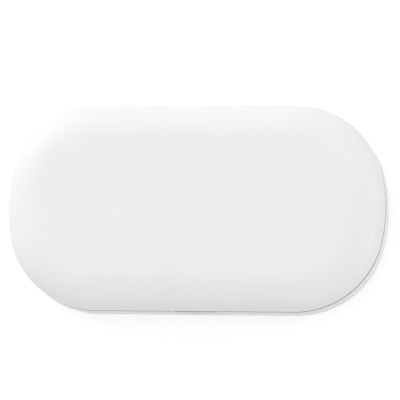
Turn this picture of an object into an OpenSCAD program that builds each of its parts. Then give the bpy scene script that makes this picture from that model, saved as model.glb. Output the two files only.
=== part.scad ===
// Clamshell box that cleans a phone with ultraviolet lamps, closed. Millimetres.
// X runs along the box, -Y is the front with the button, +Z is up.
// The origin is under the middle of the box, at the level of its feet.

/* [Outline] */
// Length of the box
body_l = 225; // [215:1:235]
// Width of the box, front to back
body_w = 122; // [120:0.5:128]
// How much larger the radius of the end arcs is than that of the corner arcs
arc_spread = 41; // [36.9:4.1:45.1]

/* [Height] */
// Height of the closed box on its feet
body_h = 48; // [46.5:0.5:52]
// Height of the middle of the seam between base and lid
seam_z = 24; // [23.5:0.5:26]
// Clear gap between the two rims
seam_gap = 0.5; // [0.4:0.1:0.6]

/* [Shells] */
// Wall of both shells
wall = 2.4; // [2:0.1:2.6]
// Rounding of the lid's rim at the seam
rim_round = 1; // [0.6:0.1:1.2]
// Depth of the rebate along the base's rim, which makes the seam a shadow line
rebate_depth = 0.9; // [0.6:0.1:1]
// Height of the rebate, down from the base's rim
rebate_h = 1.2; // [0.8:0.1:1.4]
// Rounding of the base's edge under the rebate
rebate_round = 0.4; // [0.3:0.1:0.6]
// Side radius of the lid's edge, next to its upright wall
lid_side_r = 12; // [11:0.5:13]
// Radius that blends the lid's edge into its flat top
lid_crown_r = 28; // [25:1:30]
// Side radius of the base's lower edge
base_side_r = 7; // [6:0.5:8]
// Radius that blends the base's lower edge into its flat sole
base_sole_r = 16; // [14:1:18]

/* [Chamber] */
// Distance from the outline to the chamber's upright wall
chamber_inset = 14; // [13.5:0.5:15]
// Height of the phone's floor above the base shell's floor, for the boards and lamps
base_room = 8.6; // [8.4:0.2:9.4]
// Height of the lid's ceiling below the lid shell's top, for the lamps
lid_room = 9.6; // [9.4:0.2:10.4]
// Radius between the chamber's wall and its floor
chamber_fillet = 5; // [3:0.5:6]
// Sheet thickness of the tray and the reflector
tray_t = 1.5; // [1.2:0.1:1.8]
// Thickness of the frames round the chamber's mouth
frame_t = 2; // [1.8:0.1:2.4]
// Height of the light lip above the bezel
lip_h = 2.25; // [1.5:0.25:2.5]
// Thickness of the light lip
lip_t = 1.2; // [1:0.1:1.4]
// Width of the light seal
seal_w = 1.8; // [1.4:0.1:2]
// Depth of the seal's groove in the bezel
seal_seat = 0.6; // [0.4:0.1:0.8]

/* [Phone rests] */
// Number of clear bars
rest_count = 4; // [2:2:6]
// Distance between the first and the last bar
rest_span = 132; // [120:2:140]
// Length of a bar, front to back
rest_l = 70; // [50:1:76]
// Width of a bar, which has a round top
rest_w = 3; // [2:0.5:4]

/* [Hinge] */
// Length of the hinge leaf along the axis
leaf_l = 60; // [56:1:64]
// Depth of the flat at the back of both shells
flat_depth = 0.5; // [0.4:0.1:0.6]
// Radius of the leaf's barrel
barrel_r = 3.2; // [3.1:0.1:3.4]
// Distance of the hinge axis below the middle of the seam
axis_drop = 9; // [8.5:0.5:9.5]
// Thickness of the leaf's arm inside the lid
arm_t = 2.4; // [2:0.1:2.6]
// Height of the arm above the lid's rim
arm_h = 9.25; // [8:0.25:10]
// Width of the ears that hold the pins
ear_w = 7; // [6:0.5:8]
// Diameter of the solid pin
pin_d = 3; // [2.5:0.1:3.2]
// Outside diameter of the hollow pin
bush_d = 4.4; // [4.2:0.1:4.6]
// Bore of the hollow pin
bush_bore_d = 3; // [2.6:0.1:3.2]
// Radial running clearance of both pins in the leaf
running_gap = 0.05; // [0.02:0.01:0.1]

/* [Finger scoop] */
// Length of the scoop at the wall's face
scoop_l = 28.5; // [24:0.5:32]
// Radius of the scoop's round section
scoop_r = 5; // [4.5:0.25:5.5]
// Depth of the scoop in the front wall
scoop_depth = 2.8; // [2.4:0.1:3]

/* [Power button] */
// Length of the button's face
button_l = 14; // [12:0.5:16]
// Height of the button's face
button_h = 5; // [4:0.25:5.5]
// Height of the button's middle above the table
button_z = 12.9; // [12.7:0.1:13.2]
// How far the button stands proud of the front wall
button_proud = 0.3; // [0.1:0.05:0.5]
// Clear gap between the button and its hole
button_gap = 0.15; // [0.1:0.05:0.25]
// How far the flange behind the wall reaches past the hole
flange_reach = 1.1; // [0.8:0.1:1.3]
// Travel of the button
button_travel = 0.5; // [0.3:0.05:0.6]

/* [Boards] */
// Thickness of the control boards
board_t = 1.6; // [1.2:0.1:1.6]
// Length of the main board, along X
board_l = 60; // [58:1:61]
// Width of the main board, front to back
board_w = 36.8; // [36:0.2:38]
// Length of the lamps' strip boards
strip_l = 110; // [100:1:116]
// Width of the strip boards
strip_w = 10; // [9:0.5:11]
// Distance between the two lamps of a strip
lamp_pitch = 84; // [76:1:90]
// Diameter of a lamp window's quartz disc
window_d = 9; // [8:0.25:10]

/* [Feet and fasteners] */
// Distance between the feet along the box
foot_pitch_x = 140; // [136:1:150]
// Distance between the feet across the box
foot_pitch_y = 60; // [56:1:64]
// Diameter of a rubber foot
foot_d = 12; // [10:0.5:13]
// How far the feet stand out of the sole
foot_proud = 1; // [0.8:0.1:1.2]
// Depth of the feet's seats in the sole
foot_seat = 1; // [0.8:0.1:1.2]
// Thread diameter of the case screws
screw_d = 2.3; // [2:0.1:2.5]
// Diameter of the latch magnets
magnet_d = 6; // [5:0.25:6.5]
// Thickness of the latch magnets
magnet_t = 2.2; // [1.8:0.1:2.4]

/* [Leads] */
// Diameter of the jacketed leads
lead_d = 2.2; // [1.8:0.1:2.3]
// Bend radius of the leads at their middle line
lead_bend = 2.4; // [2:0.1:2.5]

/* [Hidden] */
$fn = 72;

// Colours
shell_white = [0.94, 0.94, 0.94];
liner_grey = [0.82, 0.83, 0.84];
mirror_grey = [0.78, 0.8, 0.83];
rubber_grey = [0.45, 0.46, 0.48];
clear_tint = [0.8, 0.9, 0.95, 0.6];
board_green = [0.1, 0.4, 0.25];
chip_black = [0.12, 0.12, 0.13];
steel = [0.7, 0.7, 0.72];
lamp_cream = [0.92, 0.88, 0.7];
lead_white = [0.9, 0.9, 0.88];

// Small constants
eps = 0.01;          // overlap where one cut runs past a face
over = 1;            // how far a cutter runs past the face it opens
fit = 0.1;           // clearance of a part in its seat
pilot_room = 0.5;    // how far a screw's end stays short of its pilot's end

// Outline: end and corner arcs are tangent where they meet, on the long side of a
// 9-40-41 triangle, and an edge's two arcs on that of a 3-4-5 triangle. So every
// centre is a round number and the arcs join without a step.
plan_way = [40, 9] / 41;
edge_way = [0.6, 0.8];
half_l = body_l / 2;
half_w = body_w / 2;
corner_cy = arc_spread * plan_way.y;
corner_r = half_w - corner_cy;
end_r = corner_r + arc_spread;
end_cx = half_l - end_r;
corner_cx = end_cx + arc_spread * plan_way.x;
corner_c = [corner_cx, corner_cy];
plan_far = 3 * arc_spread * plan_way;      // from a corner's centre to beyond the outline

// Heights over its rim at which a shell's upright wall ends
function upright(height, side_r, crown_r) = height - crown_r + (crown_r - side_r) * edge_way.y;

// Levels, from the table up
sole_z = foot_proud;
floor_z = sole_z + wall;
base_rim_z = seam_z - seam_gap / 2;
lid_rim_z = seam_z + seam_gap / 2;
frame_sink = 0.25;                                // the frames lie this deep in the rims
bezel_top = base_rim_z - frame_sink;
bezel_under = bezel_top - frame_t;
base_floor_z = floor_z + base_room;               // where the phone rests stand
tray_under = base_floor_z - tray_t;
lid_frame_under = lid_rim_z + frame_sink;
lid_frame_top = lid_frame_under + frame_t;
lid_ceiling_z = body_h - wall - lid_room;
base_h = base_rim_z - sole_z;
lid_h = body_h - lid_rim_z;

// Rings, as distances inwards from the outline
liner_gap = 0.3;
liner_inset = wall + liner_gap;                   // outer edge of both frames
lip_gap = 0.6;
lip_inset = chamber_inset - lip_t;                // outer face of the light lip
lid_mouth_inset = lip_inset - lip_gap;
tray_inset = chamber_inset - tray_t;              // outer face of the tray's wall
tray_flange_w = 1.6;
tray_flange_inset = tray_inset - tray_flange_w;
seal_gap = 0.6;
seal_inset = lid_mouth_inset - seal_gap - seal_w; // outer edge of the seal
post_inset = 7.2;                                 // middle of the posts and case screws
magnet_inset = 6.8;                               // middle of the magnets and the sensor

// Hinge
leaf_half = leaf_l / 2;
leaf_gap = 0.3;
pocket_half = leaf_half + leaf_gap;
ear_half = pocket_half + ear_w;
flat_y = half_w - flat_depth;
axis_y = flat_y - barrel_r;
axis_z = seam_z - axis_drop;
leaf_room_under = 0.95;
leaf_room_front = 0.45;
pocket_under = axis_z - barrel_r - leaf_room_under;
pocket_y = axis_y - barrel_r - leaf_room_front;   // inner face of the pocket's wall
pocket_wall = 1.6;
pocket_back = pocket_y - pocket_wall;
arm_step = 0.05;                                  // how far the arm lies behind the barrel's front
arm_front = axis_y - barrel_r + arm_step;
arm_back = arm_front + arm_t;
pin_sink = 0.5;
pin_tip = ear_half - pin_sink;
pin_root = 22;                                    // inner ends of both pins
lead_meet_x = -27;                                // where both leads meet on the axis
lead_up_x = -19;                                  // where the lid's lead leaves the axis
leaf_screw_x = [-12, 4, 20];
leaf_screw_h = 5;
leaf_screw_z = lid_rim_z + leaf_screw_h;
leaf_screw_d = 2;
leaf_head_r = 1.8;

// Fasteners and posts
screw_r = screw_d / 2;
head_r = 2.1;
head_h = 1.5;
flat_head_h = 1.2;
pilot_gap = 0.02;
hole_gap = 0.2;
post_r = 2;
socket_r = 3.5;
socket_h = 10.6;
socket_top = floor_z + socket_h;
post_depth = 4.5;                                 // how far a post stands in its socket
post_under = socket_top - post_depth;
boss_r = 3;
foot_boss_r = 4;
foot_boss_h = 1.8;
foot_boss_top = floor_z + foot_boss_h;
post_turn = 70;                                   // place of the posts round a corner arc
magnet_x = 38;
magnet_y = half_w - magnet_inset;

// Boards, button and switch
board_standoff = 2.6;
board_edge = 4.95;                                // from the outline's back to the main board
board_z = floor_z + board_standoff;               // underside of the main board
board_top = board_z + board_t;
board_x = 4;                                      // left edge of the main board
board_y = half_w - board_edge - board_w;          // front edge of the main board
sensor_in = 6;
sensor_x = board_x + board_l - sensor_in;
front_in = -half_w + wall;                        // inner face of the front wall
flange_t = 1;
flange_gap = 0.05;
stem_l = 1.7;
stem_r = 2;
switch_w = 6;
switch_body_t = 3.5;
plunger_out = 1.1;
plunger_in = 2.4;
plunger_r = 1.7;
plunger_front = front_in + flange_gap + flange_t + stem_l;
switch_front = plunger_front + plunger_out;
panel_y = switch_front + switch_body_t;           // front face of the button board
panel_x = [-14, 20];
panel_lift = 1.6;
panel_h = 12.4;
panel_z = [floor_z + panel_lift, floor_z + panel_lift + panel_h];
pipe_x = 12;
pipe_r = 1.3;
pipe_collar_w = 0.8;
pipe_collar_t = 1.2;
pipe_gap = 0.3;
indicator = [2, 1.1, 1.25];
pipe_end = panel_y - indicator.y - pipe_gap;

// Strip boards, as distances outwards from the chamber's floor or ceiling
window_t = 0.8;
window_seat = tray_t - window_t;
strip_boss_h = 1.5;
strip_h = tray_t + strip_boss_h;
strip_t = 1;
strip_screw_x = 20;
lamp_w = 3.5;
lamp_t = 1.2;

// ---------- shared shapes ----------

// One edge of a shell: x is the distance outwards from the outline, y the height from the rim.
// $reach is how far the section runs inwards.
module edge_section(height, side_r, crown_r, inset = 0, round_r = 0, start = 0) {
    side_h = upright(height, side_r, crown_r);
    side_c = [-side_r, side_h];
    crown_c = side_c - (crown_r - side_r) * edge_way;
    joint = side_c + (side_r - inset) * edge_way;
    inner = [crown_c.x, side_h];
    top = [crown_c.x, height - inset];
    polygon([
        [-$reach, start],
        [-inset - round_r, start],
        [-inset - round_r, start + round_r],
        [-inset, start + round_r],
        [-inset, side_h],
        side_c,
        joint,
        inner,
        top,
        [-$reach, height - inset]
    ]);
    intersection() {
        translate(side_c)
            circle(r = side_r - inset);
        polygon([side_c, side_c + [crown_r, 0], side_c + 2 * crown_r * edge_way]);
    }
    intersection() {
        translate(crown_c)
            circle(r = crown_r - inset);
        polygon([inner, inner + 3 * (joint - inner), inner + 3 * (top - inner)]);
    }
    if (round_r > 0)
        intersection() {
            translate([-inset - round_r, start + round_r])
                circle(r = round_r);
            translate([-inset - round_r, start])
                square(round_r);
        }
}

// A section turned about a centre, kept within a wedge of the plan
module swept_arc(centre, radius, wedge) {
    intersection() {
        translate([centre.x, centre.y, 0])
            rotate([0, 0, 180])
                rotate_extrude()
                    intersection() {
                        translate([radius, 0])
                            let ($reach = radius) children();
                        translate([0, -half_l])
                            square(body_l);
                    }
        translate([0, 0, -2 * over])
            linear_extrude(body_h)
                polygon(wedge);
    }
}

// The plan's wedge of a corner arc and of an end arc
corner_wedge = [
    corner_c, corner_c + plan_far,
    corner_c + [plan_far.x, half_l], corner_c + [0, half_l]
];
end_wedge = [
    corner_c, corner_c + plan_far,
    [corner_cx + plan_far.x, -corner_cy - plan_far.y], [corner_cx, -corner_cy]
];

// A section swept round the whole outline and filled inside
module oval_body() {
    for (sx = [0, 1])
        mirror([sx, 0, 0]) {
            swept_arc([end_cx, 0], end_r, end_wedge) children();
            for (sy = [0, 1])
                mirror([0, sy, 0])
                    swept_arc(corner_c, corner_r, corner_wedge) children();
        }
    translate([-corner_cx, 0, 0])
        rotate([90, 0, 90])
            linear_extrude(2 * corner_cx)
                for (side = [0, 1])
                    mirror([side, 0])
                        translate([half_w, 0])
                            let ($reach = half_w) children();
}

// The plan of the outline, moved inwards
module oval_plan(inset) {
    square([2 * corner_cx, 2 * (half_w - inset)], center = true);
    for (sx = [0, 1])
        mirror([sx, 0]) {
            intersection() {
                translate([end_cx, 0])
                    circle(r = end_r - inset);
                polygon(end_wedge);
            }
            for (sy = [0, 1])
                mirror([0, sy])
                    intersection() {
                        translate(corner_c)
                            circle(r = corner_r - inset);
                        polygon(corner_wedge);
                    }
        }
}

// A flat ring between two insets
module oval_ring(outer, inner, z0, z1) {
    translate([0, 0, z0])
        linear_extrude(z1 - z0)
            difference() {
                oval_plan(outer);
                oval_plan(inner);
            }
}

// A pill outline lying along X
module pill(l, h) {
    square([l - h, h], center = true);
    for (side = [-1, 1])
        translate([side * (l - h) / 2, 0])
            circle(d = h);
}

// A box between two opposite corners
module block(low, high) {
    translate(low)
        cube(high - low);
}

// A drum along Z between two levels
module drum(x, y, r, z0, z1) {
    translate([x, y, z0])
        cylinder(r = r, h = z1 - z0);
}

// A drum along X on the hinge axis
module axle(r, x0, x1) {
    translate([x0, axis_y, axis_z])
        rotate([0, 90, 0])
            cylinder(r = r, h = x1 - x0);
}

// A drum along Y, from the front backwards
module rod(x, z, r, y0, y1) {
    translate([x, y1, z])
        rotate([90, 0, 0])
            cylinder(r = r, h = y1 - y0);
}

// Places round the ring where the posts of the base and the screws of the lid stand
function corner_place(sx, sy) = [
    sx * (corner_cx + (corner_r - post_inset) * cos(post_turn)),
    sy * (corner_cy + (corner_r - post_inset) * sin(post_turn))
];
ring_places = [
    corner_place(1, 1), corner_place(1, -1), corner_place(-1, 1), corner_place(-1, -1),
    [half_l - post_inset, 0], [post_inset - half_l, 0]
];
foot_places = [for (sx = [-1, 1]) for (sy = [-1, 1])
    [sx * foot_pitch_x / 2, sy * foot_pitch_y / 2]];
board_hole_inset = 4;
board_hole_back = [7, 14];      // the back holes clear the hinge's ear and the inlet
board_holes = [
    [board_x + board_hole_inset, board_y + board_hole_inset],
    [board_x + board_l - board_hole_inset, board_y + board_hole_inset],
    [board_x + board_hole_inset, board_y + board_w - board_hole_back[0]],
    [board_x + board_l - board_hole_inset, board_y + board_w - board_hole_back[1]]
];

// A lead through a list of points, with a round bend at each, of one radius or a list of them
module lead(points, d = lead_d, bend = lead_bend) {
    last = len(points) - 1;
    for (i = [0 : last - 1]) {
        start = i == 0 ? points[0] : points[i] + cut_back(points, i, bend) * along(points, i);
        stop = i == last - 1 ? points[last]
            : points[i + 1] - cut_back(points, i + 1, bend) * along(points, i);
        aim(start, along(points, i))
            cylinder(d = d, h = norm(stop - start));
        if (i > 0)
            elbow(points, i, d, bend);
    }
}

function unit(v) = v / norm(v);
function along(points, i) = unit(points[i + 1] - points[i]);
function turn_at(points, i) = acos(along(points, i - 1) * along(points, i));
function bend_at(bend, i) = is_list(bend) ? bend[i - 1] : bend;
function cut_back(points, i, bend) = bend_at(bend, i) * tan(turn_at(points, i) / 2);

// Moves a shape so that its Z runs along a direction
module aim(place, direction) {
    stands = norm([direction.x, direction.y]) < eps;
    flat = stands ? [1, 0, 0] : [0, 0, 1];
    side = unit(cross(flat, direction));
    other = cross(direction, side);
    multmatrix([
        [side.x, other.x, direction.x, place.x],
        [side.y, other.y, direction.y, place.y],
        [side.z, other.z, direction.z, place.z]
    ])
        children();
}

// The bend of a lead at one of its points
module elbow(points, i, d, bend) {
    before = along(points, i - 1);
    after = along(points, i);
    normal = unit(cross(before, after));
    inward = cross(normal, before);
    start = points[i] - cut_back(points, i, bend) * before;
    radius = bend_at(bend, i);
    centre = start + radius * inward;
    multmatrix([
        [-inward.x, before.x, normal.x, centre.x],
        [-inward.y, before.y, normal.y, centre.y],
        [-inward.z, before.z, normal.z, centre.z]
    ])
        rotate_extrude(angle = turn_at(points, i))
            translate([radius, 0])
                circle(d = d);
}

// Puts a shape drawn outwards from the chamber's floor below the tray
module under_tray() {
    translate([0, 0, base_floor_z])
        mirror([0, 0, 1])
            children();
}

// Puts the same shape above the lid's reflector
module over_reflector() {
    translate([0, 0, lid_ceiling_z])
        children();
}

module strip_board() {
    linear_extrude(strip_t)
        difference() {
            square([strip_l, strip_w], center = true);
            for (side = [-1, 1])
                translate([side * strip_screw_x, 0])
                    circle(r = strip_screw_r + hole_gap);
        }
}
strip_screw_r = 0.8;
strip_head_r = 1.6;
strip_head_h = 1;

module strip_lamps() {
    for (side = [-1, 1])
        translate([side * lamp_pitch / 2, 0, strip_h - lamp_t])
            linear_extrude(lamp_t)
                square(lamp_w, center = true);
}

module strip_windows() {
    for (side = [-1, 1])
        translate([side * lamp_pitch / 2, 0, window_seat])
            cylinder(d = window_d, h = window_t);
}

module strip_screws() {
    for (side = [-1, 1])
        translate([side * strip_screw_x, 0, 0]) {
            drum(0, 0, strip_screw_r, tray_t / 2, strip_h + strip_t);
            drum(0, 0, strip_head_r, strip_h + strip_t, strip_h + strip_t + strip_head_h);
        }
}

// The well of the tray and of the reflector, drawn outwards from the chamber's floor
module well(mouth) {
    difference() {
        union() {
            difference() {
                union() {
                    translate([0, 0, -mouth])
                        oval_body()
                            well_section(tray_inset, mouth + tray_t, chamber_fillet + tray_t, 0);
                    translate([0, 0, -mouth])
                        linear_extrude(tray_t)
                            oval_plan(tray_flange_inset);
                }
                translate([0, 0, -mouth])
                    oval_body()
                        well_section(chamber_inset, mouth, chamber_fillet, -over);
            }
            for (side = [-1, 1])
                drum(side * strip_screw_x, 0, strip_boss_r, tray_t - eps, strip_h);
        }
        for (side = [-1, 1]) {
            drum(side * lamp_pitch / 2, 0, window_d / 2 - window_ledge, -over, tray_t + over);
            drum(side * lamp_pitch / 2, 0, window_d / 2 + fit / 2, window_seat, tray_t + over);
            drum(side * strip_screw_x, 0, strip_screw_r + pilot_gap, tray_t / 2, strip_h + over);
        }
    }
}
strip_boss_r = 2.5;
window_ledge = 0.7;

// The section of a well's wall and floor
module well_section(inset, depth, fillet, start) {
    polygon([
        [-$reach, start],
        [-inset, start],
        [-inset, depth - fillet],
        [-inset - fillet, depth - fillet],
        [-inset - fillet, depth],
        [-$reach, depth]
    ]);
    intersection() {
        translate([-inset - fillet, depth - fillet])
            circle(r = fillet);
        translate([-inset - fillet, depth - fillet])
            square(fillet);
    }
}

// ---------- base ----------

module base_shell() {
    color(shell_white)
        difference() {
            union() {
                base_half(0, rebate_round, rebate_h);
                translate([0, 0, base_rim_z - rebate_h - over])
                    linear_extrude(rebate_h + over)
                        oval_plan(rebate_depth);
            }
            difference() {
                base_half(wall, 0, -over);
                base_bosses();
            }
            back_flat(-over, base_rim_z + over);
            block(
                [-pocket_half, pocket_y, pocket_under],
                [pocket_half, half_w + over, base_rim_z + over]
            );
            axle(bush_d / 2 + pilot_gap, -ear_half - over, -pocket_half + over);
            axle(pin_d / 2 + pilot_gap, pocket_half - over, ear_half + over);
            scoop();
            button_hole();
            rod(pipe_x, button_z, pipe_r + fit / 2, -half_w - over, front_in + over);
            port_hole();
            for (place = foot_places) {
                drum(place.x, place.y, foot_d / 2 + fit, sole_z - over, sole_z + foot_seat);
                drum(place.x, place.y, head_r + hole_gap, sole_z, tray_head_z + head_h);
                drum(place.x, place.y, screw_r + hole_gap, sole_z, foot_boss_top + over);
            }
            for (place = ring_places)
                drum(place.x, place.y, post_r + fit / 2, post_under - fit, socket_top + over);
            for (place = board_holes)
                drum(place.x, place.y, board_screw_r + pilot_gap, board_screw_z - pilot_room, board_z + over);
        }
}
tray_head_z = sole_z + foot_seat + fit;
board_screw_r = 1;
board_screw_z = floor_z - pilot_room;
board_head_r = 1.8;
board_head_h = 1.3;

// The base as a body below its rim, moved inwards
module base_half(inset, round_r, start) {
    translate([0, 0, base_rim_z])
        mirror([0, 0, 1])
            oval_body()
                edge_section(base_h, base_side_r, base_sole_r, inset, round_r, start);
}

// Everything that stands inside the base shell
module base_bosses() {
    block([-ear_half, pocket_back, pocket_under - pocket_wall], [ear_half, half_w, seam_z + over]);
    block(
        [-scoop_block_half, -half_w, seam_z - scoop_drop - scoop_block_h],
        [scoop_block_half, front_in + scoop_block_t, seam_z + over]
    );
    for (place = foot_places)
        drum(place.x, place.y, foot_boss_r, sole_z, foot_boss_top);
    for (place = ring_places)
        drum(place.x, place.y, socket_r, sole_z, socket_top);
    for (place = board_holes)
        drum(place.x, place.y, board_boss_r, sole_z, board_z);
    for (x = panel_x)
        panel_guide(x);
}
scoop_drop = 1;
scoop_block_t = 2.2;
scoop_block_h = 5.6;
scoop_block_half = scoop_l / 2 + 2;
board_boss_r = 2.5;
guide_w = 2;
guide_d = 0.9;

// A grooved rib that one end of the button board stands in
module panel_guide(x) {
    inner = x < 0 ? 1 : -1;
    difference() {
        translate([x - inner * guide_w / 2, panel_y + board_t / 2, (sole_z + panel_z[1]) / 2])
            cube([2 * guide_w, board_t + 2 * guide_d, panel_z[1] - sole_z], center = true);
        block(
            [panel_x[0] - fit, panel_y - fit / 2, panel_z[0]],
            [panel_x[1] + fit, panel_y + board_t + fit / 2, panel_z[1] + over]
        );
    }
}

// The flat at the back of both shells
module back_flat(z0, z1) {
    block([-pocket_half, flat_y, z0], [pocket_half, half_w + over, z1]);
}

// The round-ended hollow under the lid's rim, turned about its own middle line
module scoop() {
    chord = sqrt(scoop_r * scoop_r - pow(scoop_r - scoop_depth, 2));
    translate([0, -half_w + scoop_depth - scoop_r, seam_z - scoop_drop])
        rotate([0, 90, 0])
            rotate_extrude()
                intersection() {
                    rotate(90)
                        pill(scoop_l - 2 * chord + 2 * scoop_r, 2 * scoop_r);
                    translate([0, -scoop_l])
                        square([scoop_r + over, 2 * scoop_l]);
                }
}

module button_hole() {
    translate([0, -half_w - over, button_z])
        rotate([-90, 0, 0])
            linear_extrude(wall + 2 * over)
                pill(button_l + 2 * button_gap, button_h + 2 * button_gap);
}

// The opening for the plug in the back wall
module port_hole() {
    translate([usb_x, half_w + over, usb_z])
        rotate([90, 0, 0])
            linear_extrude(wall + 2 * over)
                pill(port_l, port_h);
}
usb_in = 16;
usb_x = board_x + board_l - usb_in;
usb_l = 8.94;
usb_h = 3.26;
usb_depth = 7.3;
usb_skin = 0.3;
usb_z = board_top + usb_h / 2;
usb_mouth_y = half_w - wall - fit;
port_l = 11;
port_h = 5.2;

module base_bezel() {
    color(liner_grey)
        difference() {
            union() {
                oval_ring(liner_inset, chamber_inset, bezel_under, bezel_top);
                oval_ring(lip_inset, chamber_inset, bezel_top - eps, bezel_top + lip_h);
                for (place = ring_places)
                    drum(place.x, place.y, post_r, post_under, bezel_under + eps);
                for (side = [-1, 1])
                    drum(side * magnet_x, -magnet_y, magnet_cup_r, magnet_cup_z, bezel_under + eps);
            }
            oval_ring(seal_inset, seal_inset + seal_w, bezel_top - seal_seat, bezel_top + over);
            block(
                [-ear_half - liner_gap, pocket_back - liner_gap, bezel_under - over],
                [ear_half + liner_gap, half_w, bezel_top + over]
            );
            block(
                [-scoop_block_half - liner_gap, -half_w, bezel_under - over],
                [scoop_block_half + liner_gap, front_in + scoop_block_t + liner_gap, bezel_top + over]
            );
            for (side = [-1, 1])
                drum(side * magnet_x, -magnet_y, magnet_d / 2 + fit, magnet_cup_z - over, magnet_top);
        }
}
magnet_skin = 0.6;
magnet_cup_wall = 0.9;
magnet_room = 0.3;
magnet_top = bezel_top - magnet_skin;
magnet_cup_r = magnet_d / 2 + magnet_cup_wall;
magnet_cup_z = magnet_top - magnet_t - magnet_room;

module base_tray() {
    color(mirror_grey)
        difference() {
            union() {
                under_tray()
                    well(bezel_under - base_floor_z);
                for (place = foot_places)
                    drum(place.x, place.y, boss_r, foot_boss_top, tray_under + eps);
            }
            for (place = foot_places)
                drum(place.x, place.y, screw_r + pilot_gap, foot_boss_top - over, tray_under + pilot_room);
        }
}

module phone_rests() {
    pitch = rest_span / (rest_count - 1);
    color(clear_tint)
        for (i = [0 : rest_count - 1])
            translate([-rest_span / 2 + i * pitch, rest_l / 2, base_floor_z])
                rotate([90, 0, 0])
                    linear_extrude(rest_l) {
                        translate([0, rest_w / 2])
                            circle(d = rest_w);
                        translate([-rest_w / 2, 0])
                            square([rest_w, rest_w / 2]);
                    }
}

module light_seal() {
    color(rubber_grey)
        oval_ring(
            seal_inset + fit / 2, seal_inset + seal_w - fit / 2,
            bezel_top - seal_seat, lid_frame_under
        );
}

module base_led_board() {
    color(board_green)
        under_tray()
            translate([0, 0, strip_h])
                strip_board();
}

module base_uvc_leds() {
    color(lamp_cream)
        under_tray()
            strip_lamps();
}

module base_windows() {
    color(clear_tint)
        under_tray()
            strip_windows();
}

module base_led_screws() {
    color(steel)
        under_tray()
            strip_screws();
}

module main_board() {
    color(board_green)
        difference() {
            block([board_x, board_y, board_z], [board_x + board_l, board_y + board_w, board_top]);
            for (place = foot_places)
                drum(place.x, place.y, foot_boss_r + notch_gap, board_z - over, board_top + over);
            for (place = board_holes)
                drum(place.x, place.y, board_screw_r + hole_gap, board_z - over, board_top + over);
        }
}

notch_gap = 0.3;

// Controller, lamp driver, coil and capacitors: length, width, height and place on the board
chips = [
    [7, 7, 1, 18, 14], [5, 4, 1.5, 32, 10], [6, 6, 2.4, 42, 12],
    [3, 2, 1.2, 26, 24], [3, 2, 1.2, 32, 24], [4, 3, 1.6, 16, 28]
];

module board_chips() {
    color(chip_black) {
        for (chip = chips)
            translate([board_x + chip[3], board_y + chip[4], board_top + chip[2] / 2])
                cube([chip[0], chip[1], chip[2]], center = true);
        block(
            [lamp_lead_x - connector.x / 2, board_y, board_top],
            [lamp_lead_x + connector.x / 2, board_y + connector.y, strip_mid + thin_lead_d / 2 + fit]
        );
    }
}
connector = [5, 3.5];
connector_along = 30;
lamp_lead_x = board_x + connector_along;
strip_mid = base_floor_z - strip_h - strip_t / 2;

module board_screws() {
    color(steel)
        for (place = board_holes) {
            drum(place.x, place.y, board_screw_r, board_screw_z, board_top);
            drum(place.x, place.y, board_head_r, board_top, board_top + board_head_h);
        }
}

module usb_socket() {
    color(steel)
        translate([usb_x, usb_mouth_y, usb_z])
            rotate([90, 0, 0])
                difference() {
                    linear_extrude(usb_depth)
                        pill(usb_l, usb_h);
                    translate([0, 0, -over])
                        linear_extrude(usb_depth)
                            difference() {
                                pill(usb_l - 2 * usb_skin, usb_h - 2 * usb_skin);
                                square(tongue, center = true);
                            }
                    translate([0, 0, -over])
                        linear_extrude(over + tongue_sink)
                            square([usb_l, usb_h] - 4 * usb_skin * [1, 1], center = true);
                }
}
tongue = [6.6, 0.7];
tongue_sink = 0.7;

module hall_sensor() {
    body = [4, 1.6, 3.4];
    leg = 0.4;
    color(chip_black) {
        block(
            [sensor_x - body.x / 2, magnet_y - body.y / 2, bezel_under - body.z],
            [sensor_x + body.x / 2, magnet_y + body.y / 2, bezel_under]
        );
        for (step = [-1, 0, 1])
            block(
                [sensor_x + step * sensor_pitch - leg / 2, magnet_y - leg / 2, board_top],
                [sensor_x + step * sensor_pitch + leg / 2, magnet_y + leg / 2, bezel_under - body.z + eps]
            );
    }
}
sensor_pitch = 1.27;

module button_board() {
    color(board_green)
        block([panel_x[0], panel_y, panel_z[0]], [panel_x[1], panel_y + board_t, panel_z[1]]);
}

module tact_switch() {
    color(chip_black)
        difference() {
            translate([-switch_w / 2, switch_front, button_z - switch_w / 2])
                cube([switch_w, switch_body_t, switch_w]);
            rod(0, button_z, plunger_r + running_gap, switch_front - over, switch_front + plunger_in);
        }
}
module status_led() {
    color(lamp_cream)
        translate([pipe_x, panel_y - indicator.y / 2, button_z])
            cube(indicator, center = true);
}

module light_pipe() {
    color(clear_tint) {
        rod(pipe_x, button_z, pipe_r, -half_w, pipe_end);
        rod(pipe_x, button_z, pipe_r + pipe_collar_w, front_in, front_in + pipe_collar_t);
    }
}

module button_lead() {
    from_x = panel_x[1] - lead_in;
    run_x = board_x + lead_along;
    run_y = panel_y + board_t + lead_out;
    color(lead_white)
        lead([
            [from_x, panel_y + board_t, board_mid],
            [from_x, run_y, board_mid],
            [run_x, run_y, board_mid],
            [run_x, board_y, board_mid]
        ], thin_lead_d, thin_bend);
}
lead_in = 4;
lead_along = 22;
lead_out = 6;
thin_lead_d = 1.6;
thin_bend = 1.5;
board_mid = board_z + board_t / 2;

module base_led_lead() {
    color(lead_white)
        lead([[lamp_lead_x, strip_w / 2, strip_mid], [lamp_lead_x, board_y, strip_mid]], thin_lead_d);
}

far_lead_along = 16;

module base_lead() {
    ear_clear = 2.6;
    run_y = board_y + far_lead_along;
    side_x = -ear_half - ear_clear - lead_d / 2;
    color(lead_white)
        lead([
            [board_x, run_y, board_mid],
            [side_x, run_y, board_mid],
            [side_x, pocket_back, board_mid],
            [side_x, pocket_back, axis_z],
            [side_x, axis_y, axis_z],
            [lead_meet_x, axis_y, axis_z]
        ]);
}

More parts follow.
